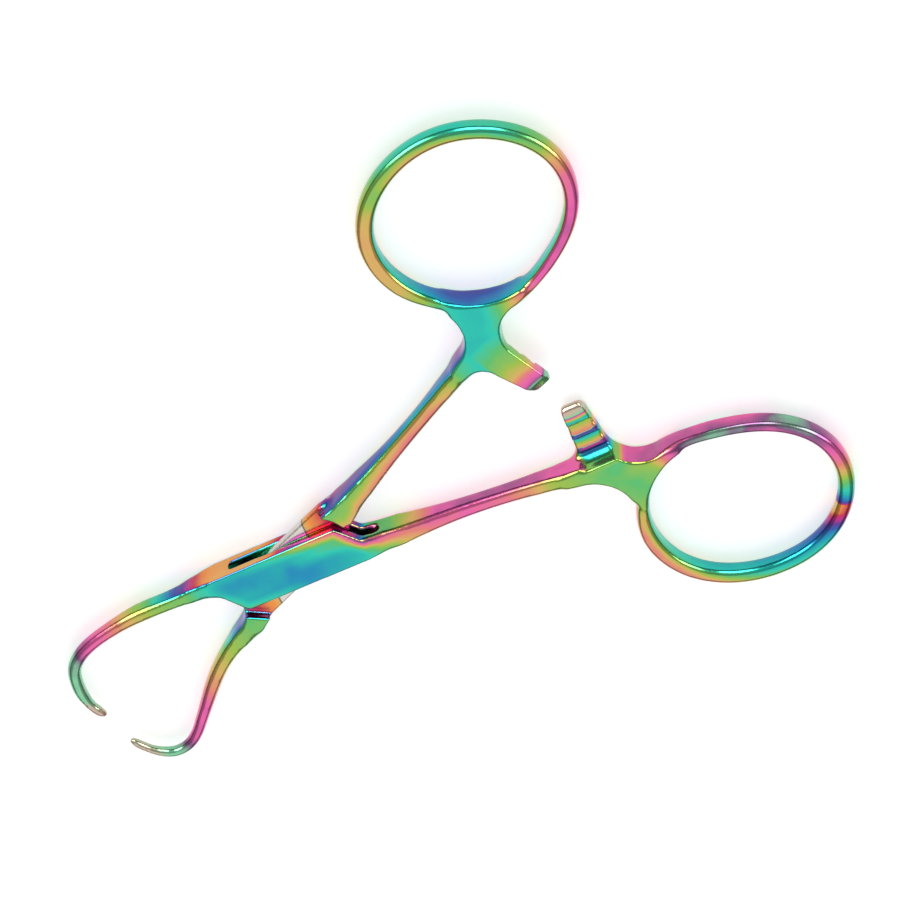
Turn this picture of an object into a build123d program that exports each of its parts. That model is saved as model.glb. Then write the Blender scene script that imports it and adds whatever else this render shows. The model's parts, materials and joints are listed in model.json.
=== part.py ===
from build123d import *
import math
import os

# A small box-lock towel clamp, in millimetres, as its three real pieces: the box half, the inner half
# whose tenon passes through the box's slot, and the pin that holds the two together.
#
# Both handles are the same forging, turned over. Each half is drawn in a frame of its own: X along the
# straight part of the lock, from the pin towards the ring, Y towards the side that its ring is on, and
# Z = 0 halfway through its thickness. The clamp lies flat, with the box half along the part's X.

# The lock
thickness = 3.5
slot_height = 1.22
tenon_height = 1.16
pin_radius = 1.3
pin_press = 0.004
pin_clearance = 0.04
edge_break = 0.12

# The angle between the two straight parts as the clamp lies
open_angle = 21.2

# Corners of the forged bars
corner_steps = 2

# The handle. Each half's is set a little back along its lock and to one side, as on the real clamp
handle_back = 0.34
handle_outward = 0.46
neck_thickness = 3.44
neck_edge = 0.16

# The finger hole is an oval with a blunter end towards the neck
ring_centre = (49.9, 15.9)
hole_radius = 10.24
hole_oval = 0.61
hole_blunt = 0.18
hole_skew = 0.12
hole_reach = 0.3
neck_direction = -138.0
ring_band = 2.1
ring_thinning = 0.6
ring_thin_direction = -95.0
ring_far_height = 2.3
ring_near_height = 2.5
ring_root_rise = 0.8
ring_far_direction = 45.0
ring_flat = 0.2
ring_near_corner = 0.45
ring_start = -125.0
ring_end = 215.0
ring_sections = 13
hole_points = 16
ring_seat = 0.01

# The ratchet rack
rack_inner_side = 36.3
rack_outer_side = 39.9
rack_taper = 0.9
rack_tip = -4.75
rack_root = 3.4
rack_round = 0.6
tooth_pitch = 1.95
tooth_depth = 0.42
tooth_count = 3
rack_gap = 0.04
first_tooth = -2.25
tip_ramp = 0.5
tip_bevel_length = 1.3
tip_bevel_height = 0.8
scoop_radius = 1.9
scoop_start = 1.15


def section(plane, width, height, corner):
    """A flat-sided section whose corners are ground round in a few steps."""
    outline = []
    for quarter, (side, top) in enumerate([(1, 1), (-1, 1), (-1, -1), (1, -1)]):
        for step in range(corner_steps + 1):
            turn = math.radians(90 * (quarter + step / corner_steps))
            outline.append((
                side * (width / 2 - corner) + corner * math.cos(turn),
                top * (height / 2 - corner) + corner * math.sin(turn),
            ))
    return plane * make_face(Polyline(*outline, close=True))


def bar(stations):
    """A forged bar through stations of (x, y, width, height, corner radius)."""
    sections = []
    for index, (x, y, width, height, corner) in enumerate(stations):
        before = stations[max(index - 1, 0)]
        after = stations[min(index + 1, len(stations) - 1)]
        along = Vector(after[0] - before[0], after[1] - before[1], 0).normalized()
        across = Vector(-along.Y, along.X, 0)
        sections.append(section(Plane(origin=(x, y, 0), x_dir=across, z_dir=along), width, height, corner))
    return loft(sections)


def plate(points, height, rounds=()):
    """A flat plate centred on Z = 0. Each entry of rounds is a corner's (x, y, radius)."""
    with BuildSketch() as sketch:
        with BuildLine():
            Polyline(*points, close=True)
        make_face()
        for x, y, radius in rounds:
            fillet(sketch.vertices().sort_by_distance((x, y))[0], radius)
    return extrude(sketch.sketch, height / 2, both=True)


def soften(body, length):
    """Breaks the sharp edges round a plate's top and bottom faces."""
    rims = body.faces().sort_by(Axis.Z)
    edges = rims[0].edges() + rims[-1].edges()
    return chamfer(edges, length)


def soften_sweeps(body):
    """Breaks the edges along the neck's sweeps and its part of the finger hole."""
    curved = body.edges().filter_by(GeomType.LINE, reverse=True)
    return chamfer(curved, neck_edge)


def nearness(degrees, direction, sharpness):
    """1 in one direction from the middle of the ring, falling smoothly to 0 opposite it."""
    return (0.5 + 0.5 * math.cos(math.radians(degrees - direction))) ** sharpness


def hole_edge(degrees, outward=0.0):
    """A point on the edge of the finger hole, in a direction from its centre, moved out into the metal."""
    def on_edge(angle):
        radius = hole_radius + hole_oval * math.cos(2 * angle) + hole_blunt * math.cos(3 * angle)
        radius -= hole_skew * math.sin(4 * angle)
        radius += hole_reach * nearness(math.degrees(angle), neck_direction, 6)
        return Vector(ring_centre[0] + radius * math.cos(angle), ring_centre[1] + radius * math.sin(angle), 0)

    angle = math.radians(degrees)
    step = 0.01
    along = (on_edge(angle + step) - on_edge(angle - step)).normalized()
    normal = Vector(along.Y, -along.X, 0)
    return on_edge(angle) + normal * outward, along, normal


def finger_ring():
    """The oval ring: a flat-sided section where it leaves the neck, a rounder one at its far side."""
    sections = []
    for index in range(ring_sections):
        share = index / (ring_sections - 1)
        direction = ring_start + (ring_end - ring_start) * share
        far = nearness(direction, ring_far_direction, 1)
        band = ring_band - ring_thinning * nearness(direction, ring_thin_direction, 1.5)
        height = ring_near_height + (ring_far_height - ring_near_height) * far
        height += ring_root_rise * nearness(direction, neck_direction, 16)
        corner = ring_near_corner + (band / 2 - ring_flat - ring_near_corner) * far
        centre, along, normal = hole_edge(direction, band / 2)
        sections.append(section(Plane(origin=centre, x_dir=normal, z_dir=along), band, height, corner))
    return loft(sections)


def neck():
    """The flat junction of shank, ring and rack, with a concave sweep in each of its three corners."""
    with BuildSketch() as sketch:
        with BuildLine():
            end = Polyline((33.0, 2.8), (33.0, 4.6), (34.6, 4.95))
            outer_sweep = ThreePointArc(end @ 1, (37.5, 6.15), (38.85, 9.4))
            under_ring = Polyline(outer_sweep @ 1, (40.5, 13.0), (47.0, 9.0), (47.0, 5.2), (45.0, 4.9))
            far_sweep = ThreePointArc(under_ring @ 1, (41.2, 4.05), (rack_outer_side, 1.25))
            rack_end = Polyline(far_sweep @ 1, (rack_outer_side, 0.6), (rack_inner_side, 0.6))
            near_sweep = ThreePointArc(rack_end @ 1, (35.6, 1.95), (34.2, 2.55))
            Line(near_sweep @ 1, end @ 0)
        make_face()
        with BuildLine():
            Spline(*[hole_edge(360 * index / hole_points, ring_seat)[0] for index in range(hole_points)],
                   periodic=True)
        make_face(mode=Mode.SUBTRACT)
    return extrude(sketch.sketch, neck_thickness / 2, both=True)


def rack():
    """The ratchet's arm, with saw teeth on top. Their steep faces look back to the neck."""
    low = -neck_thickness / 2
    crest = -rack_gap
    root = crest - tooth_depth
    profile = [(rack_tip + tip_bevel_length, low), (rack_tip, low + tip_bevel_height), (rack_tip, root),
               (rack_tip + tip_ramp, crest)]
    for index in range(tooth_count):
        face = first_tooth + index * tooth_pitch
        profile += [(face, crest), (face, root)]
    profile += [(rack_root, root), (rack_root, low)]
    with BuildSketch(Plane.YZ.offset(rack_inner_side)) as side:
        with BuildLine():
            Polyline(*profile, close=True)
        make_face()
    arm = extrude(side.sketch, rack_outer_side - rack_inner_side)
    plan = plate(
        [(rack_inner_side, rack_root), (rack_inner_side, 0.6), (rack_inner_side + rack_taper, rack_tip),
         (rack_outer_side - 0.1, rack_tip), (rack_outer_side, 0.6), (rack_outer_side, rack_root)],
        thickness,
        rounds=[(rack_inner_side + rack_taper, rack_tip, rack_round), (rack_outer_side, rack_tip, rack_round)],
    )
    return arm & plan


def scoop():
    """The space above the rack, with the round bottom that runs up to the flat of the neck."""
    root = -rack_gap - tooth_depth
    top = neck_thickness
    with BuildSketch(Plane.YZ.offset(rack_inner_side - 3)) as side:
        with BuildLine():
            corner = scoop_start + scoop_radius
            walls = Polyline((scoop_start, root), (rack_tip - 4, root), (rack_tip - 4, top),
                             (corner, top), (corner, root + scoop_radius))
            RadiusArc(walls @ 1, walls @ 0, scoop_radius)
        make_face()
    return extrude(side.sketch, 3 + rack_outer_side - rack_inner_side + 1.5)


def shank():
    """From the lock to the neck: flat-sided at both ends, slim and rounded between."""
    return bar([
        (8.7, 1.05, 2.9, thickness - 0.06, 0.14),
        (11.6, 1.25, 2.85, 3.36, 0.3),
        (15.0, 1.53, 2.5, 3.1, 0.55),
        (20.0, 1.95, 2.15, 2.45, 0.72),
        (25.5, 2.5, 2.05, 2.3, 0.76),
        (30.0, 3.03, 2.08, 2.6, 0.62),
        (33.0, 3.4, 2.18, 3.06, 0.36),
        (36.0, 3.65, 2.4, 3.3, 0.2),
    ])


def handle():
    """Shank, neck, rack and finger ring, with the teeth facing up."""
    flat = soften_sweeps(neck()) - scoop()
    return shank() + flat + rack() + finger_ring()


def set_handle(piece, outward=handle_outward):
    """Moves the handle from its own place to where it is set on the lock."""
    return Pos(-handle_back, outward, 0) * piece


def box_half():
    """The half with the slot: box, handle and a jaw that bows out and hooks back."""
    box = plate(
        [(-9.0, -2.88), (7.05, -2.8), (9.2, 0.2), (10.6, 0.35), (10.6, 3.08), (-7.25, 2.9), (-9.15, -0.1),
         (-10.5, -0.56), (-10.3, -1.4)],
        thickness,
        rounds=[(7.05, -2.8, 0.5), (9.2, 0.2, 0.6), (-7.25, 2.9, 0.9), (-9.15, -0.1, 1.5)],
    )
    jaw = bar([
        (-8.5, -1.75, 2.3, 3.44, 0.14),
        (-10.3, -1.72, 2.34, 3.3, 0.22),
        (-12.4, -1.7, 2.08, 2.75, 0.42),
        (-15.6, -1.71, 1.7, 2.2, 0.55),
        (-19.7, -1.74, 1.5, 1.8, 0.62),
        (-23.45, -1.25, 1.3, 1.5, 0.6),
        (-26.7, -0.46, 1.28, 1.35, 0.6),
        (-28.7, 0.45, 1.25, 1.3, 0.6),
        (-30.2, 1.76, 1.2, 1.25, 0.58),
        (-31.15, 3.8, 1.15, 1.2, 0.55),
        (-31.55, 5.97, 1.05, 1.1, 0.5),
        (-31.45, 7.83, 0.95, 1.0, 0.45),
        (-30.9, 9.3, 0.75, 0.8, 0.36),
        (-30.72, 9.65, 0.4, 0.45, 0.19),
    ])
    body = soften(box, edge_break) + jaw + set_handle(handle())
    slot = plate(
        [(-6.75, -3.6), (-6.75, -2.75), (-9.4, -1.9), (-11.0, -0.9), (-11.4, 0.6), (-9.5, 3.8),
         (6.75, 3.8), (6.75, 2.75), (9.4, 1.9), (11.0, 0.9), (11.4, -0.6), (9.5, -3.6)],
        slot_height,
        rounds=[(-9.4, -1.9, 2.0), (9.4, 1.9, 2.0)],
    )
    hole = Cylinder(pin_radius, thickness * 2)
    return body - slot - hole


def inner_half():
    """The half that passes through the slot: a thin tenon between two shoulders, handle and jaw."""
    tenon = plate(
        [(9.6, 2.85), (-6.9, 2.85), (-9.4, -0.8), (-8.8, -3.0), (6.9, -2.85), (9.6, -1.0)],
        tenon_height,
        rounds=[(-6.9, 2.85, 0.6), (6.9, -2.85, 0.6)],
    )
    shank_block = plate(
        [(7.7, 2.2), (9.2, -1.15), (11.9, -0.55), (11.9, 2.15)],
        thickness,
        rounds=[(9.2, -1.15, 0.4)],
    )
    jaw_block = plate([(-8.85, -0.43), (-7.14, -2.77), (-9.9, -3.4), (-10.5, -0.97)], thickness)
    jaw = bar([
        (-9.05, -1.94, 2.75, 3.44, 0.14),
        (-11.1, -2.26, 2.42, 3.05, 0.28),
        (-13.57, -2.56, 2.08, 2.45, 0.45),
        (-16.7, -3.24, 1.73, 2.1, 0.55),
        (-19.75, -4.31, 1.6, 1.85, 0.6),
        (-22.7, -5.64, 1.45, 1.65, 0.62),
        (-25.5, -6.96, 1.3, 1.45, 0.6),
        (-27.7, -7.89, 1.25, 1.35, 0.59),
        (-29.45, -8.18, 1.22, 1.28, 0.58),
        (-31.2, -7.72, 1.15, 1.2, 0.55),
        (-32.4, -6.48, 1.1, 1.12, 0.52),
        (-33.03, -4.89, 1.0, 1.0, 0.48),
        (-33.3, -3.0, 0.8, 0.85, 0.38),
        (-33.3, -2.5, 0.42, 0.45, 0.2),
    ])
    turned_handle = mirror(set_handle(handle(), outward=-handle_outward), about=Plane.XY)
    blocks = soften(shank_block, edge_break) + soften(jaw_block, edge_break)
    body = tenon + blocks + jaw + turned_handle
    hole = Cylinder(pin_radius + pin_clearance, thickness * 2)
    return body - hole


def joint_pin():
    """The pin, pressed through both cheeks of the box and ground flush with them."""
    return Cylinder(pin_radius - pin_press, thickness)


def place(piece, angle=0.0, other_side=False):
    """Turns a piece drawn in its own frame into the clamp's, with the clamp lying on Z = 0."""
    if other_side:
        piece = mirror(piece, about=Plane.XZ)
    return Pos(0, 0, thickness / 2) * Rot(0, 0, angle) * piece


pieces = {
    "box_half": place(box_half(), other_side=True),
    "inner_half": place(inner_half(), angle=open_angle),
    "joint_pin": place(joint_pin()),
}

os.makedirs("parts", exist_ok=True)
for name, piece in pieces.items():
    export_step(piece, f"parts/{name}.step")
    print(name, round(piece.volume, 1), "mm3")
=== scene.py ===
# %% [markdown]
# # A towel clamp with a rainbow coating
# This lesson dresses a small surgical towel clamp. The steel halves and their pin come from CAD, in metres
# and lying flat on z = 0. Blender gives them the polish and the coloured film that the real clamp has, a white
# table and soft studio light.

import json
import math

import bpy
import numpy as np
from mathutils import Matrix, Vector, kdtree

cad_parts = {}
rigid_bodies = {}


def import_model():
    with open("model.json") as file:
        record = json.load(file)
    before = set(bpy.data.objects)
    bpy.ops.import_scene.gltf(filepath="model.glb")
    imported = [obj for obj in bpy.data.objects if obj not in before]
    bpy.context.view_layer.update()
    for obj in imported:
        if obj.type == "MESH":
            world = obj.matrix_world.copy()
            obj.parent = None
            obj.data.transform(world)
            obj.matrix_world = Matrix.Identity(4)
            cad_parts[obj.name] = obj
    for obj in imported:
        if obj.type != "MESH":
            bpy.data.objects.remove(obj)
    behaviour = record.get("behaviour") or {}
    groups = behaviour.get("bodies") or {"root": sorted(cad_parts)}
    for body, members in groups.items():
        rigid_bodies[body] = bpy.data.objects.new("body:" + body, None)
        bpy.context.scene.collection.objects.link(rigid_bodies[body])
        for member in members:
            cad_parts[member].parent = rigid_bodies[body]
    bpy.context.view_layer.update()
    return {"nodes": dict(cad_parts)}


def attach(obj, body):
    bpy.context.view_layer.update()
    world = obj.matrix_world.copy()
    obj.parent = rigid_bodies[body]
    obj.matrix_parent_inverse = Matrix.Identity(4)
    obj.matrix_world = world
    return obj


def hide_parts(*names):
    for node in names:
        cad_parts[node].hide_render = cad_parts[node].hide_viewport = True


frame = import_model()
mm = 0.001

# %% [markdown]
# The clamp was photographed from above its far side, with a long lens: the camera stands about half a metre
# away and looks down 52 degrees. The picture's right-hand direction isn't the clamp's own X, so the camera is
# built from three directions: right and away lie in the plane of the clamp, and the tilt leans the view.

# %% Name the directions
camera_tilt = math.radians(37.49)
picture_turn = math.radians(28.61)
aim = Vector((23.549, 5.385, 1.75)) * mm

right = Vector((math.cos(picture_turn), -math.sin(picture_turn), 0.0))
away = Vector((math.sin(picture_turn), math.cos(picture_turn), 0.0))
overhead = Vector((0.0, 0.0, 1.0))
towards = away * math.sin(camera_tilt) + overhead * math.cos(camera_tilt)
up = towards.cross(right)
print("looking from", [round(value, 3) for value in towards])

# %% Place the camera
camera_distance = 513.1 * mm
lens_pixels = 4567.0
picture_width = 900.0
sensor_width = 36.0

bpy.ops.object.camera_add()
camera = bpy.context.object
camera.name = "camera"
stand = Matrix.Translation(aim + towards * camera_distance)
camera.matrix_world = stand @ Matrix((right, up, towards)).transposed().to_4x4()
camera.data.sensor_width = sensor_width
camera.data.lens = lens_pixels * sensor_width / picture_width
camera.data.clip_start = 0.01
camera.data.clip_end = 10.0
bpy.context.scene.camera = camera
print("camera at", [round(value, 4) for value in camera.location])

# %% [markdown]
# The clamp lies on white paper. A plain pale plane catches its soft shadow. The paper glows a little, but only
# for the camera and for mirrored rays, so that it looks white without lighting the clamp.

# %% White paper
paper_grey = 0.9
paper_roughness = 0.9
paper_glow_strength = 0.55
white = (1.0, 1.0, 1.0, 1.0)

paper = bpy.data.materials.new("white paper")
paper.use_nodes = True
paper_tree = paper.node_tree
paper_surface = paper_tree.nodes["Principled BSDF"]
paper_surface.inputs["Base Color"].default_value = (paper_grey, paper_grey, paper_grey, 1.0)
paper_surface.inputs["Roughness"].default_value = paper_roughness
paper_surface.inputs["Specular IOR Level"].default_value = 0.0
paper_surface.inputs["Emission Color"].default_value = white
paper_rays = paper_tree.nodes.new("ShaderNodeLightPath")
paper_seen = paper_tree.nodes.new("ShaderNodeMath")
paper_seen.operation = "MAXIMUM"
paper_glow = paper_tree.nodes.new("ShaderNodeMath")
paper_glow.operation = "MULTIPLY"
paper_glow.inputs[1].default_value = paper_glow_strength
paper_tree.links.new(paper_rays.outputs["Is Camera Ray"], paper_seen.inputs[0])
paper_tree.links.new(paper_rays.outputs["Is Glossy Ray"], paper_seen.inputs[1])
paper_tree.links.new(paper_seen.outputs[0], paper_glow.inputs[0])
paper_tree.links.new(paper_glow.outputs[0], paper_surface.inputs["Emission Strength"])
print("paper nodes", len(paper_tree.nodes))

# %% Table
table_size = 3.0
bpy.ops.object.select_all(action="DESELECT")
bpy.ops.mesh.primitive_plane_add(size=table_size, location=(aim.x, aim.y, 0.0))
table = bpy.context.object
table.name = "table"
table.data.materials.append(paper)
print("table", tuple(table.dimensions))

# %% [markdown]
# Polished metal shows the room more than its own colour, so the room matters. The flat tops mirror one
# direction, behind the clamp, and a wide soft box there shows them in their plain colour and throws a soft
# shadow towards the camera. Three lamps in an arc behind the camera draw a bright line along each rounded
# edge, and they are kept off the paper so that it keeps the one shadow. The sky is dimmer low down, and that
# gives the dark line beside the bright one.

# %% Sky
horizon_level = 0.12
overhead_level = 0.5
full_height = 0.55
level_a, level_b = 2, 3

world = bpy.data.worlds.new("studio")
bpy.context.scene.world = world
world.use_nodes = True
sky = world.node_tree
background = sky.nodes["Background"]
background.inputs["Color"].default_value = white
sky_place = sky.nodes.new("ShaderNodeTexCoord")
sky_axes = sky.nodes.new("ShaderNodeSeparateXYZ")
sky_level = sky.nodes.new("ShaderNodeMapRange")
sky_level.inputs["From Max"].default_value = full_height
sky_level.inputs["To Min"].default_value = horizon_level
sky_level.inputs["To Max"].default_value = overhead_level
sky_rays = sky.nodes.new("ShaderNodeLightPath")
sky_seen = sky.nodes.new("ShaderNodeMix")
sky_seen.inputs[level_b].default_value = 1.0
sky.links.new(sky_place.outputs["Generated"], sky_axes.inputs[0])
sky.links.new(sky_axes.outputs["Z"], sky_level.inputs["Value"])
sky.links.new(sky_rays.outputs["Is Camera Ray"], sky_seen.inputs[0])
sky.links.new(sky_level.outputs[0], sky_seen.inputs[level_a])
sky.links.new(sky_seen.outputs[0], background.inputs["Strength"])
bpy.context.scene.view_settings.view_transform = "Standard"
print("sky nodes", len(sky.nodes))

# %% Wide soft box
lamp_distance = 0.9
wide_size, wide_power = 1.0, 2.0


def soft_box(name, toward, size, power):
    """A square area lamp that shines at the clamp from a direction."""
    bpy.ops.object.light_add(type="AREA")
    lamp = bpy.context.object
    lamp.name = name
    place = aim + Vector(toward).normalized() * lamp_distance
    lamp.location = place
    lamp.rotation_mode = "QUATERNION"
    lamp.rotation_quaternion = (place - aim).to_track_quat("Z", "Y")
    lamp.data.size = size
    lamp.data.energy = power
    print(name, [round(value, 3) for value in place])
    return lamp


mirrored = overhead * math.cos(camera_tilt) - away * math.sin(camera_tilt)
soft_box("wide soft box", mirrored, wide_size, wide_power)

# %% Edge lamps
edge_lamp_turns = (-60.0, 0.0, 60.0)
edge_lamp_height = math.radians(35.0)
edge_size, edge_power = 0.45, 3.4

for turn_deg in edge_lamp_turns:
    turn = math.radians(turn_deg)
    sideways = away * math.cos(turn) + right * math.sin(turn)
    toward = sideways * math.cos(edge_lamp_height) + overhead * math.sin(edge_lamp_height)
    edge_lamp = soft_box("edge lamp " + str(round(turn_deg)), toward, edge_size, edge_power)
    edge_lamp.visible_diffuse = False

# %% [markdown]
# Later steps wear some places rounder than others and paint the coating by place. Both need to know where each
# point of a half lies, so these helpers measure it: its place along the half, in the frame that the half was
# drawn in, and which way it faces. All lengths from here on are in millimetres.

# %% Measure a half
open_angle = math.radians(21.2)
box_flip = np.array([1.0, -1.0, 1.0])


def measure(piece, side):
    """The points and normals of a half in its own frame, jaws at -x and its ring at +y."""
    count = len(piece.data.vertices)
    points = np.empty(count * 3)
    piece.data.vertices.foreach_get("co", points)
    points = points.reshape(count, 3) / mm
    normals = np.empty(count * 3)
    piece.data.vertex_normals.foreach_get("vector", normals)
    normals = normals.reshape(count, 3)
    if side == "box":
        return points * box_flip, normals * box_flip
    cos, sin = math.cos(open_angle), math.sin(open_angle)
    turn_back = np.array([[cos, -sin, 0.0], [sin, cos, 0.0], [0.0, 0.0, 1.0]])
    return points @ turn_back, normals @ turn_back


# %% Steps and stations
def step(value, low, high):
    """0 below low, 1 above high and smooth between."""
    share = np.clip((value - low) / (high - low), 0.0, 1.0)
    return share * share * (3.0 - 2.0 * share)


def fade(value, low, high):
    """1 below low, 0 above high and smooth between."""
    return step(-value, -high, -low)


def stations(value, pairs):
    """A film thickness read off a short list of places and thicknesses."""
    places, films = zip(*pairs)
    return np.interp(value, places, films)


print("halfway", step(0.5, 0.0, 1.0), fade(0.5, 0.0, 1.0))

# %% Places on a half
ring_x = 49.56
ring_y = {"inner": 15.44, "box": 16.36}
jaw_tip = {"inner": -34.0, "box": -38.0}
hook_start = -25.0
hook_side = 1.5
hook_gain = 0.9


def from_ring(x, y, side):
    """How far each point is from the middle of its half's ring."""
    return np.hypot(x - ring_x, y - ring_y[side])


def along_jaw(x, y):
    """The place along a half, where the hook that turns back at the jaw's end counts as further out."""
    return x - hook_gain * np.clip(y - hook_side, 0.0, None) * (x < hook_start)


def tip_distance(x, y, side):
    """Roughly how far along the jaw each point is from the tip of its hook."""
    return along_jaw(x, y) - jaw_tip[side]


print("ring centres", ring_x, ring_y)

# %% [markdown]
# The real clamp is forged, ground and tumbled, so one face runs into the next over a small soft edge. The CAD
# solids have crisp corners ground in steps. Each half is copied, its loose triangles are merged, and a Remesh
# modifier skins it again with small even squares. A Smooth modifier then wears the corners round, as tumbling
# does. A second one, led by a vertex group, works longer where the forging flows from one shape into the next
# and on the slender jaws, shanks and rings, and leaves the lock and the teeth crisp.

# %% Where the forging flows
slender_flow = 0.2
place_flow = 0.75
tip_kept = 2.0
slender_jaw = (12.0, 14.0)
slender_shank_start = (13.0, 15.0)
slender_shank_end = (30.0, 33.0)
slender_ring_inside = (9.0, 9.5)
slender_ring_outside = (14.0, 15.5)
slender_ring_start = (38.0, 42.0)


def slenderness(x, y, side):
    """1 on the jaws, shanks and rings and 0 on the lock, neck and rack."""
    reach = from_ring(x, y, side)
    jaw = step(-x, *slender_jaw)
    shank = step(x, *slender_shank_start) * fade(x, *slender_shank_end)
    ring = step(reach, *slender_ring_inside) * fade(reach, *slender_ring_outside) * step(x, *slender_ring_start)
    slender = np.maximum(np.maximum(jaw, shank), ring)
    return slender * step(tip_distance(x, y, side), tip_kept, 2.0 * tip_kept)


print("slender jaw from", slender_jaw, "mm before the pin")

# %% [markdown]
# Each flow place is a circle, given by x, y and size: the roots of the jaw and shank, and on the handle the
# shank's end, the inside of the neck and the ring's root. The handles are the same forging on both halves, set
# a little to one side or the other of the lock.

# %% Flow places
handle_shift = {"inner": -0.46, "box": 0.46}
lock_flow_places = {
    "inner": [(-10.6, -2.2, 1.6), (12.2, 0.8, 2.1), (9.7, 2.9, 1.0)],
    "box": [(-10.6, -1.2, 1.7), (11.0, 1.8, 1.8)],
}
handle_flow_places = [(33.1, 3.7, 3.2), (40.0, 12.0, 3.4), (46.9, 6.0, 3.4)]
flow_core = 0.1
flow_edge = 1.6


def flow(points, side):
    """How freely each point flows into its neighbours, from 0 to 1."""
    x, y = points[:, 0], points[:, 1]
    share = slender_flow * slenderness(x, y, side)
    shift = handle_shift[side]
    handle_places = [(place_x, place_y + shift, size) for place_x, place_y, size in handle_flow_places]
    for place_x, place_y, size in lock_flow_places[side] + handle_places:
        distance = np.hypot(x - place_x, y - place_y)
        share = np.maximum(share, place_flow * fade(distance, flow_core * size, flow_edge * size))
    return share


print("flow places", len(handle_flow_places), "on each handle")

# %% [markdown]
# Smoothing thins a slender jaw and shortens its tip. A Displace modifier fills the jaws out again along their
# normals, less at the tip. The hook of the box half is a stout one, so it gets more.

# %% Where the jaws are filled out
jaw_fill = {"inner": 0.14 * mm, "box": 0.30 * mm}
fill_start = (13.0, 20.0)
tip_fullness = 0.5


def jaw_fullness(points, side):
    """1 on the slender part of the jaw, half at its tip and 0 from the lock on."""
    x, y = points[:, 0], points[:, 1]
    behind_tip = step(tip_distance(x, y, side), 0.0, 2.0 * tip_kept)
    return step(-x, *fill_start) * (tip_fullness + (1.0 - tip_fullness) * behind_tip)


print("filled out by", jaw_fill)

# %% Copy a half
weld_distance = 0.001 * mm


def copy_of(name, nodes):
    """One welded mesh made of copies of CAD nodes, which stay as they are."""
    bpy.ops.object.select_all(action="DESELECT")
    for node in nodes:
        frame["nodes"][node].select_set(True)
    bpy.context.view_layer.objects.active = frame["nodes"][nodes[0]]
    bpy.ops.object.duplicate()
    bpy.ops.object.parent_clear(type="CLEAR_KEEP_TRANSFORM")
    if len(nodes) > 1:
        bpy.ops.object.join()
    piece = bpy.context.object
    piece.name = name
    bpy.ops.object.mode_set(mode="EDIT")
    bpy.ops.mesh.select_all(action="SELECT")
    bpy.ops.mesh.remove_doubles(threshold=weld_distance)
    bpy.ops.object.mode_set(mode="OBJECT")
    print(name, len(piece.data.vertices), "points")
    return piece


inner_piece = copy_of("inner_half_polished", ["inner_half"])
box_piece = copy_of("box_half_polished", ["box_half", "joint_pin"])

# %% Modifier helpers
group_levels = 10
tumbling = 0.5


def apply_modifier(piece, name, kind, **settings):
    """Adds a modifier to a piece, sets it and applies it."""
    bpy.ops.object.select_all(action="DESELECT")
    piece.select_set(True)
    bpy.context.view_layer.objects.active = piece
    modifier = piece.modifiers.new(name, kind)
    for setting, value in settings.items():
        setattr(modifier, setting, value)
    bpy.ops.object.modifier_apply(modifier=modifier.name)


def graded_group(piece, name, shares):
    """A vertex group that holds one share per point, in ten levels."""
    levels = np.round(shares * group_levels).astype(int)
    group = piece.vertex_groups.new(name=name)
    for level in range(1, group_levels + 1):
        group.add(np.flatnonzero(levels == level).tolist(), level / group_levels, "REPLACE")
    return group.name


print("group levels", group_levels)

# %% Polish both halves
skin_size = 0.15 * mm
tumbling_rounds = 20
flow_rounds = 140


def polish(piece, side):
    """Gives a copied half its tumbled skin."""
    apply_modifier(piece, "skin", "REMESH", mode="VOXEL", voxel_size=skin_size)
    apply_modifier(piece, "wear", "SMOOTH", factor=tumbling, iterations=tumbling_rounds)
    flow_group = graded_group(piece, "flow", flow(measure(piece, side)[0], side))
    apply_modifier(
        piece, "blend", "SMOOTH", factor=tumbling, iterations=flow_rounds, vertex_group=flow_group
    )
    jaw_group = graded_group(piece, "jaw", jaw_fullness(measure(piece, side)[0], side))
    apply_modifier(
        piece, "fill", "DISPLACE", mid_level=0.0, strength=jaw_fill[side], vertex_group=jaw_group
    )
    bpy.ops.object.shade_smooth()
    print(piece.name, len(piece.data.vertices), "points", 2 * len(piece.data.polygons), "triangles")


polish(inner_piece, "inner")
polish(box_piece, "box")

# %% [markdown]
# The film is a layer of oxide so thin that its thickness alone sets its colour. It grows thicker where the
# current of the coating bath reached the steel more easily, so the colour follows the shape. The thickness is
# therefore painted on the mesh, as a number per point, and the material turns the number into a colour.
#
# The film thickness runs from 0 to 1 in the order that the colours come as the film grows: gold, orange,
# crimson, magenta, violet, blue, teal, green, olive, tan, rose, pink, mauve, pale green, beige. Each half gets
# one list for its top and one for its walls, from the tip of the jaw to the shank. Two more say how much the
# film changes at the edges of its top. The ring has two lists by the angle in the picture, for the rim of the
# hole and for the outer rim, and the rack has one across it.

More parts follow.
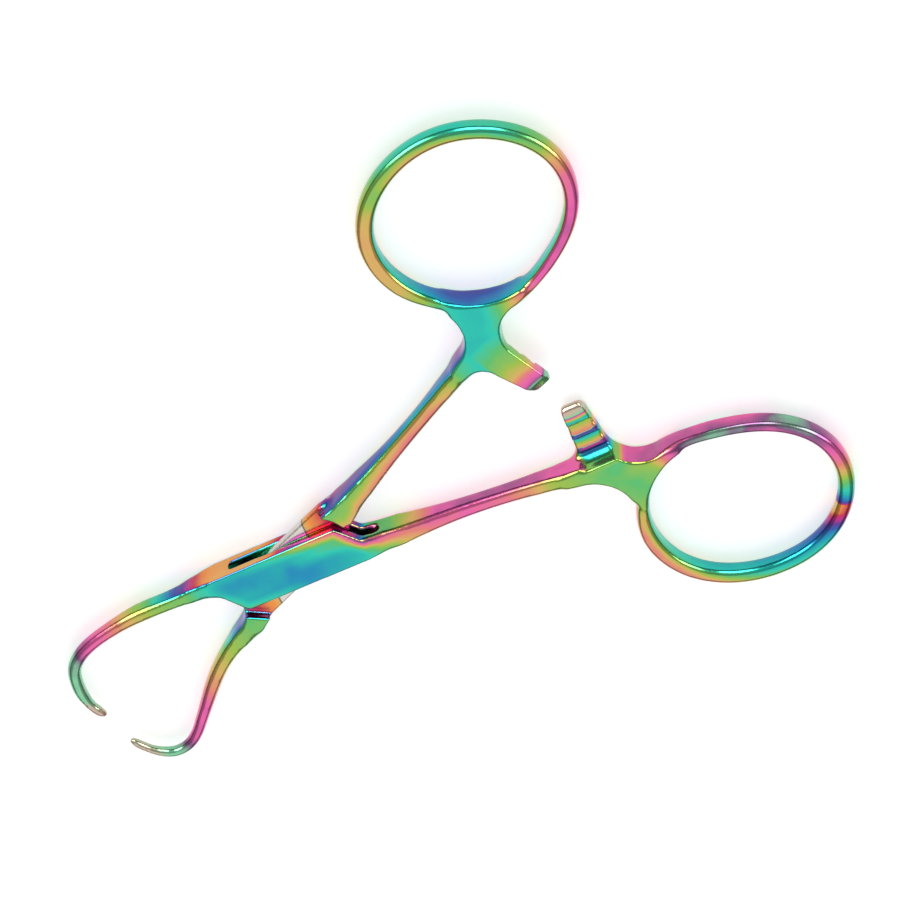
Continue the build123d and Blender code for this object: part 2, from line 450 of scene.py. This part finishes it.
# %% Film lists of the box half
box_film = {
    "top": [(-38, 1.0), (-37, 0.99), (-36, 0.945), (-29.8, 0.935), (-28.3, 0.89), (-27, 0.85), (-24.5, 0.83),
            (-22, 0.76), (-19.5, 0.70), (-17, 0.65), (-13.5, 0.60), (-11, 0.49), (-8, 0.40), (-5, 0.37),
            (-2, 0.37), (2, 0.39), (5, 0.43), (8, 0.48), (10, 0.55), (12, 0.63), (14, 0.71), (17, 0.79),
            (21, 0.84), (26, 0.82), (29, 0.76), (32, 0.68), (36, 0.62), (41, 0.58)],
    "wall": [(-38, 1.0), (-37, 0.98), (-36, 0.94), (-29.5, 0.935), (-28, 0.89), (-26, 0.85), (-23.4, 0.80),
             (-20.4, 0.70), (-17.6, 0.60), (-15.7, 0.45), (-14.3, 0.32), (-12.9, 0.24), (-11.6, 0.14),
             (-10.3, 0.07), (-8, 0.03), (-3, 0.03), (-1, 0.08), (1, 0.20), (4, 0.18), (8.4, 0.14),
             (9.8, 0.60), (12.5, 0.62), (15, 0.72), (18, 0.85), (22, 0.88), (28, 0.88), (34, 0.85),
             (38, 0.82), (41, 0.87)],
    "upper edge": [(-16, 0.0), (-12, 0.05), (-6, 0.10), (0, 0.24), (4, 0.38), (9, 0.42), (11, 0.25), (14, 0.10),
                   (20, 0.0)],
    "lower edge": [(-16, 0.0), (-12, 0.08), (-6, 0.22), (-2, 0.15), (1, 0.03), (20, 0.0)],
    "hole": [(-180, 0.45), (-154, 0.56), (-144, 0.92), (-104, 0.925), (-90, 0.89), (-75, 0.85), (-45, 0.83),
             (-18, 0.74), (-10, 0.60), (-6, 0.45), (-3, 0.33), (1, 0.30), (2, 0.03), (8, 0.06), (13, 0.16),
             (18, 0.25), (25, 0.33), (42, 0.42), (70, 0.50), (90, 0.53), (130, 0.50), (180, 0.45)],
    "rim": [(-180, 0.64), (-166, 0.60), (-152, 0.66), (-144, 0.80), (-136, 0.88), (-126, 0.91), (-112, 0.92),
            (-95, 0.928), (-78, 0.93), (-64, 0.92), (-50, 0.90), (-38, 0.87), (-30, 0.82), (-24, 0.75),
            (-17, 0.66), (-10, 0.55), (-5, 0.46), (-1, 0.36), (1, 0.22), (2, 0.11), (8, 0.13), (13, 0.22),
            (18, 0.32), (24, 0.48), (34, 0.60), (60, 0.70), (90, 0.76), (130, 0.78), (155, 0.79), (170, 0.72),
            (180, 0.64)],
    "rack": [(-4.75, 1.0), (-3.4, 0.99), (-2.9, 0.94), (-2.3, 0.60), (-2.25, 0.45), (-1.5, 0.66), (-0.32, 0.80),
             (-0.30, 0.22), (0.3, 0.40), (1.0, 0.66), (1.63, 0.80), (1.65, 0.15), (2.2, 0.27), (2.8, 0.42),
             (3.4, 0.62), (4.2, 0.66)],
}
print("box half lists", {name: len(pairs) for name, pairs in box_film.items()})

# %% Film lists of the inner half
inner_film = {
    "top": [(-34, 1.0), (-32.8, 0.985), (-31.8, 0.945), (-30.2, 0.93), (-28.8, 0.89), (-27.5, 0.86),
            (-23, 0.85), (-21, 0.80), (-18.5, 0.745), (-15, 0.69), (-12, 0.635), (-9, 0.61), (9, 0.62),
            (13, 0.63), (17, 0.67), (22, 0.72), (28, 0.72), (31, 0.67), (34.5, 0.56), (36.5, 0.505),
            (40, 0.49)],
    "wall": [(-34, 1.0), (-32, 0.95), (-30, 0.92), (-28, 0.86), (-25, 0.82), (-22, 0.79), (-19, 0.74),
             (-16.5, 0.70), (-14.5, 0.60), (-13, 0.45), (-11, 0.30), (-8.5, 0.28), (8, 0.2), (9, 0.30),
             (16, 0.34), (25, 0.48), (31, 0.42), (34, 0.30), (36, 0.28), (38, 0.5), (41, 0.55)],
    "upper edge": [(7.0, 0.0), (8.5, 0.12), (16, 0.14), (24, 0.10), (30, 0.07), (34, 0.0)],
    "lower edge": [(8, 0.0), (34, 0.0)],
    "hole": [(-180, 0.50), (-160, 0.47), (-130, 0.42), (-110, 0.35), (-90, 0.32), (-75, 0.37), (-60, 0.46),
             (-45, 0.55), (-15, 0.57), (5, 0.64), (25, 0.79), (45, 0.81), (90, 0.75), (135, 0.74), (155, 0.68),
             (170, 0.56), (180, 0.50)],
    "rim": [(-180, 0.72), (-150, 0.74), (-130, 0.72), (-115, 0.66), (-100, 0.52), (-84, 0.50), (-74, 0.60),
            (-66, 0.72), (-58, 0.80), (-45, 0.85), (-15, 0.865), (15, 0.86), (30, 0.83), (42, 0.74), (52, 0.64),
            (70, 0.56), (100, 0.53), (130, 0.52), (145, 0.55), (160, 0.65), (180, 0.72)],
    "rack": [(-4.75, 0.93), (-3.9, 0.93), (-3.4, 0.86), (-2.6, 0.82), (-1.5, 0.72), (0, 0.66), (2, 0.60),
             (4, 0.54)],
}
print("inner half lists", {name: len(pairs) for name, pairs in inner_film.items()})

# %% [markdown]
# On the lock, jaw and shank the film depends on the place along the half and on whether a face looks up or
# sideways. Along the edges of the flat top it is thicker, because the bath reached them from two sides.

# %% Film along a half
top_height = 3.5
flat_depth = 0.06
flat_facing = 0.97
edge_width = 2.4
edge_falloff = 1.6
face_blend = (0.35, 0.9)
handle_start = (7.0, 9.0)
middle_line = [(7.0, 0.0), (9.0, 1.05), (15.0, 1.53), (20.0, 1.95), (25.5, 2.5), (33.0, 3.4)]
wall_fall = {"inner": 0.14, "box": 0.0}


def edge_closeness(points, normals):
    """1 at the edge of the flat top, falling to 0 a little way in."""
    flat = (points[:, 2] > top_height - flat_depth) & (normals[:, 2] > flat_facing)
    edge_points = points[~flat]
    tree = kdtree.KDTree(len(edge_points))
    for index, point in enumerate(edge_points):
        tree.insert(point, index)
    tree.balance()
    distance = np.zeros(len(points))
    for index in np.flatnonzero(flat):
        distance[index] = tree.find(points[index])[2]
    return np.clip(1.0 - distance / edge_width, 0.0, 1.0) ** edge_falloff


def depth_share(points):
    """0 at the top of the clamp and 1 at the table."""
    return 1.0 - points[:, 2] / top_height


def along_film(points, normals, facing_up, side, film):
    """The film thickness on the lock, jaw and shank."""
    x, y = points[:, 0], points[:, 1]
    along = along_jaw(x, y)
    on_handle = step(x, *handle_start)
    lower = step(y - stations(x, middle_line) - handle_shift[side] * on_handle, -1.0, 1.0)
    edge_gain = stations(x, film["upper edge"]) * (1.0 - lower) + stations(x, film["lower edge"]) * lower
    top = stations(along, film["top"]) + edge_closeness(points, normals) * edge_gain
    wall = stations(along, film["wall"]) - wall_fall[side] * depth_share(points) * on_handle
    return facing_up * top + (1.0 - facing_up) * wall


print("flat top above", top_height - flat_depth, "mm")

# %% [markdown]
# On the ring the film goes round by angle. The angle is the one seen in the picture, with 0 at the right. At
# the neck the whole top follows the outer rim's list. Towards the table the film on the hole's wall is painted
# thinner, as painted shade for the dark bottom of the hole.

# %% Film around a ring
ring_rise = {"inner": math.degrees(open_angle + picture_turn), "box": -math.degrees(picture_turn)}
# painted shade deep in the ring's hole, given as a shift of film thickness
hole_shade_shift = 0.12
neck_side = {"inner": -88.0, "box": -166.6}
neck_spread = {"inner": (-0.6, -0.1), "box": (0.6, 0.95)}
neck_flank_spread = (0.5, 0.85)
neck_flank_reach = (10.8, 11.6)
rim_blend = (10.0, 12.1)
hole_wall_blend = (10.9, 12.0)
ring_outside = (13.8, 15.8)
beyond_neck = (42.0, 44.0)


def picture_angle(x, y, side):
    """The angle of each point round its ring, in degrees from -180 to 180."""
    angle = np.degrees(np.arctan2(y - ring_y[side], x - ring_x)) + ring_rise[side]
    return (angle + 180.0) % 360.0 - 180.0


def ring_film(points, facing_up, side, film):
    """The film thickness on a ring, with painted shade low on the hole's wall."""
    x, y = points[:, 0], points[:, 1]
    reach = from_ring(x, y, side)
    angle = picture_angle(x, y, side)
    toward_neck = np.cos(np.radians(angle - neck_side[side]))
    outward = np.maximum(step(reach, *rim_blend), step(toward_neck, *neck_spread[side]) * facing_up)
    in_hole = fade(reach, *hole_wall_blend) * (1.0 - facing_up)
    # painted shade: the film on the hole's wall is shifted thinner towards the table, for the dark bottom of
    # the hole
    painted_hole_shade = hole_shade_shift * depth_share(points) * in_hole
    return (1.0 - outward) * stations(angle, film["hole"]) + outward * stations(angle, film["rim"]) - painted_hole_shade


def ring_share(points, facing_up, side):
    """1 on the ring and 0 on the rest of the half, where the neck's outer walls belong to the rest."""
    x, y = points[:, 0], points[:, 1]
    reach = from_ring(x, y, side)
    toward_neck = np.cos(np.radians(picture_angle(x, y, side) - neck_side[side]))
    flank = step(toward_neck, *neck_flank_spread) * (1.0 - facing_up) * step(reach, *neck_flank_reach)
    return np.maximum(fade(reach, *ring_outside), step(x, *beyond_neck)) * (1.0 - flank)


print("picture angles from", ring_rise)

# %% [markdown]
# Each tooth of the rack has its own run of colours, because its film starts anew behind every step. The bands
# bow a little. Along, ring and rack then join into one number per point, kept on the mesh by name.

# %% Join the films
rack_middle = 37.8
rack_bow = 0.06
rack_start = (35.8, 36.4)
rack_end = 42.0
rack_root = (3.6, 4.4)


def painted(points, normals, side, film):
    """The film thickness at each point of a half."""
    x, y = points[:, 0], points[:, 1]
    facing_up = step(np.abs(normals[:, 2]), *face_blend)
    body = along_film(points, normals, facing_up, side, film)
    ring = ring_film(points, facing_up, side, film)
    thickness = body + ring_share(points, facing_up, side) * (ring - body)
    on_rack = step(x, *rack_start) * fade(y, *rack_root) * (x < rack_end)
    bow = rack_bow * (x - rack_middle) ** 2
    return thickness + on_rack * (stations(y + bow, film["rack"]) - thickness)


def keep(piece, name, values):
    """Stores one number per point on the mesh, where the material finds it by name."""
    layer = piece.data.attributes.new(name, "FLOAT", "POINT")
    layer.data.foreach_set("value", np.clip(values, 0.0, 1.0).astype(np.float32))
    print(piece.name, name, round(float(values.min()), 3), round(float(values.max()), 3))


box_points, box_normals = measure(box_piece, "box")
keep(box_piece, "film", painted(box_points, box_normals, "box", box_film))
keep(box_piece, "bare", np.zeros(len(box_points)))

# %% [markdown]
# The box covered the middle of the tenon in the bath. The steel there is bare, and past the covered part's
# end the film starts thin. Along that end, where the tenon goes in under the box, a dark line of painted shade
# is drawn. The line leans across the tenon.

# %% Film on the tenon
tenon_top = 2.45
tenon_bottom = 1.0
tenon_reach = 8.6
cover_slope = 0.55
covered = 3.7
cover_edge = 0.2
tenon_film = [(covered, 0.02), (covered + 1.0, 0.06), (covered + 3.0, 0.12), (covered + 5.0, 0.18)]

inner_points, inner_normals = measure(inner_piece, "inner")
inner_x, inner_y, inner_z = inner_points.T
from_middle = np.abs(inner_x - cover_slope * inner_y)
in_recess = (np.abs(inner_x) < tenon_reach) & (inner_z < tenon_top) & (inner_z > tenon_bottom)
inner_thickness = painted(inner_points, inner_normals, "inner", inner_film)
keep(inner_piece, "film", np.where(in_recess, stations(from_middle, tenon_film), inner_thickness))
# the bare layer also places the painted shade line at the covered part's end, where the tenon goes in under the
# box
keep(inner_piece, "bare", in_recess * fade(from_middle, covered - cover_edge, covered + cover_edge))

# %% [markdown]
# The colours are a Color Ramp in the order that thin films show. They are written as web colour codes, and a
# helper turns them into the linear values that Blender works with.

# %% Film colours
film_colours = [
    (0.00, "C9B06A"), (0.06, "E08C3C"), (0.12, "BE2846"), (0.18, "AF2382"), (0.25, "54328C"), (0.32, "2850A0"),
    (0.39, "0582AF"), (0.46, "0AA5A5"), (0.53, "1EBEA5"), (0.60, "55B464"), (0.67, "96B441"), (0.73, "CDA55A"),
    (0.79, "D7786E"), (0.85, "DC5AA0"), (0.90, "784B78"), (0.94, "78C396"), (1.00, "C8A596"),
]


def linear(code):
    """The linear colour of a web colour code."""
    channels = [int(code[place:place + 2], 16) / 255.0 for place in (0, 2, 4)]
    return [((value + 0.055) / 1.055) ** 2.4 if value > 0.04 else value / 12.92 for value in channels] + [1.0]


print("film colours", len(film_colours))

# %% [markdown]
# One node group turns the film thickness into a colour. A little cloudy noise moves the thickness, because a
# bath never coats quite evenly, and a fine grain makes the polish a little uneven.

# %% Rainbow film
cloud_scale = 450.0
cloud_detail = 4.0
cloud_drift = 0.03
grain_scale = 3000.0
smoothest, roughest = 0.14, 0.24

film_group = bpy.data.node_groups.new("rainbow film", "ShaderNodeTree")
film_group.interface.new_socket("Thickness", in_out="INPUT", socket_type="NodeSocketFloat")
film_group.interface.new_socket("Colour", in_out="OUTPUT", socket_type="NodeSocketColor")
film_group.interface.new_socket("Roughness", in_out="OUTPUT", socket_type="NodeSocketFloat")
group_in = film_group.nodes.new("NodeGroupInput")
group_out = film_group.nodes.new("NodeGroupOutput")
place = film_group.nodes.new("ShaderNodeTexCoord")
cloud = film_group.nodes.new("ShaderNodeTexNoise")
cloud.inputs["Scale"].default_value = cloud_scale
cloud.inputs["Detail"].default_value = cloud_detail
drift = film_group.nodes.new("ShaderNodeMapRange")
drift.inputs["To Min"].default_value = -cloud_drift
drift.inputs["To Max"].default_value = cloud_drift
thickness = film_group.nodes.new("ShaderNodeMath")
colours = film_group.nodes.new("ShaderNodeValToRGB")
grain = film_group.nodes.new("ShaderNodeTexNoise")
grain.inputs["Scale"].default_value = grain_scale
satin = film_group.nodes.new("ShaderNodeMapRange")
satin.inputs["To Min"].default_value = smoothest
satin.inputs["To Max"].default_value = roughest
print("film nodes", len(film_group.nodes))

# %% Colour the film
stops = colours.color_ramp.elements
for stop, (position, code) in ((stops[0], film_colours[0]), (stops[1], film_colours[-1])):
    stop.position = position
    stop.color = linear(code)
for position, code in film_colours[1:-1]:
    stops.new(position).color = linear(code)
film_group.links.new(place.outputs["Object"], cloud.inputs["Vector"])
film_group.links.new(place.outputs["Object"], grain.inputs["Vector"])
film_group.links.new(cloud.outputs["Fac"], drift.inputs["Value"])
film_group.links.new(group_in.outputs["Thickness"], thickness.inputs[0])
film_group.links.new(drift.outputs[0], thickness.inputs[1])
film_group.links.new(thickness.outputs[0], colours.inputs["Fac"])
film_group.links.new(colours.outputs["Color"], group_out.inputs["Colour"])
film_group.links.new(grain.outputs["Fac"], satin.inputs["Value"])
film_group.links.new(satin.outputs[0], group_out.inputs["Roughness"])
print("colour stops", len(stops))

# %% [markdown]
# The material puts the film on a metal with a thin clear coat, which gives the small white glints. Where the
# bare layer says so it shows plain steel, and a Color Ramp paints a dark line of shade halfway between the two,
# where the tenon goes in under the box.

# %% Coated steel
coat_weight = 0.3
coat_ior = 1.7
coat_roughness = 0.12
bare_steel = (0.62, 0.58, 0.54, 1.0)
# painted shade: the colour of the dark line where the tenon goes in under the box
crevice_shade_colour = (0.05, 0.04, 0.03, 1.0)
colour_a, colour_b, colour_mixed = 6, 7, 2

coated = bpy.data.materials.new("rainbow coated steel")
coated.use_nodes = True
tree = coated.node_tree
metal = tree.nodes["Principled BSDF"]
metal.inputs["Metallic"].default_value = 1.0
metal.inputs["Coat Weight"].default_value = coat_weight
metal.inputs["Coat IOR"].default_value = coat_ior
metal.inputs["Coat Roughness"].default_value = coat_roughness
film_layer = tree.nodes.new("ShaderNodeAttribute")
film_layer.attribute_name = "film"
bare_layer = tree.nodes.new("ShaderNodeAttribute")
bare_layer.attribute_name = "bare"
rainbow = tree.nodes.new("ShaderNodeGroup")
rainbow.node_tree = film_group
steel_or_film = tree.nodes.new("ShaderNodeMix")
steel_or_film.data_type = "RGBA"
steel_or_film.inputs[colour_b].default_value = bare_steel
# painted shade: a ramp that is darkest halfway between bare steel and film
crevice_shade_ramp = tree.nodes.new("ShaderNodeValToRGB")
crevice_shade_ramp.color_ramp.elements[0].color = white
crevice_shade_ramp.color_ramp.elements.new(0.5).color = crevice_shade_colour
with_crevice_shade = tree.nodes.new("ShaderNodeMix")
with_crevice_shade.data_type = "RGBA"
with_crevice_shade.blend_type = "MULTIPLY"
with_crevice_shade.inputs[0].default_value = 1.0
print("steel nodes", len(tree.nodes))

# %% Join the steel's nodes
tree.links.new(film_layer.outputs["Fac"], rainbow.inputs["Thickness"])
tree.links.new(rainbow.outputs["Colour"], steel_or_film.inputs[colour_a])
tree.links.new(bare_layer.outputs["Fac"], steel_or_film.inputs[0])
tree.links.new(bare_layer.outputs["Fac"], crevice_shade_ramp.inputs["Fac"])
tree.links.new(steel_or_film.outputs[colour_mixed], with_crevice_shade.inputs[colour_a])
tree.links.new(crevice_shade_ramp.outputs["Color"], with_crevice_shade.inputs[colour_b])
tree.links.new(with_crevice_shade.outputs[colour_mixed], metal.inputs["Base Color"])
tree.links.new(rainbow.outputs["Roughness"], metal.inputs["Roughness"])
print("links", len(tree.links))

# %% [markdown]
# Each polished half takes the place of its CAD nodes and moves with their body. The pin's flush ends are part
# of the box half's skin, so that piece stands for two nodes.

# %% Dress the clamp
for piece, body, nodes in (
    (box_piece, "box_side", ("box_half", "joint_pin")),
    (inner_piece, "inner_side", ("inner_half",)),
):
    piece.data.materials.clear()
    piece.data.materials.append(coated)
    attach(piece, body)
    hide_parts(*nodes)
    print(piece.name, "rides", body)
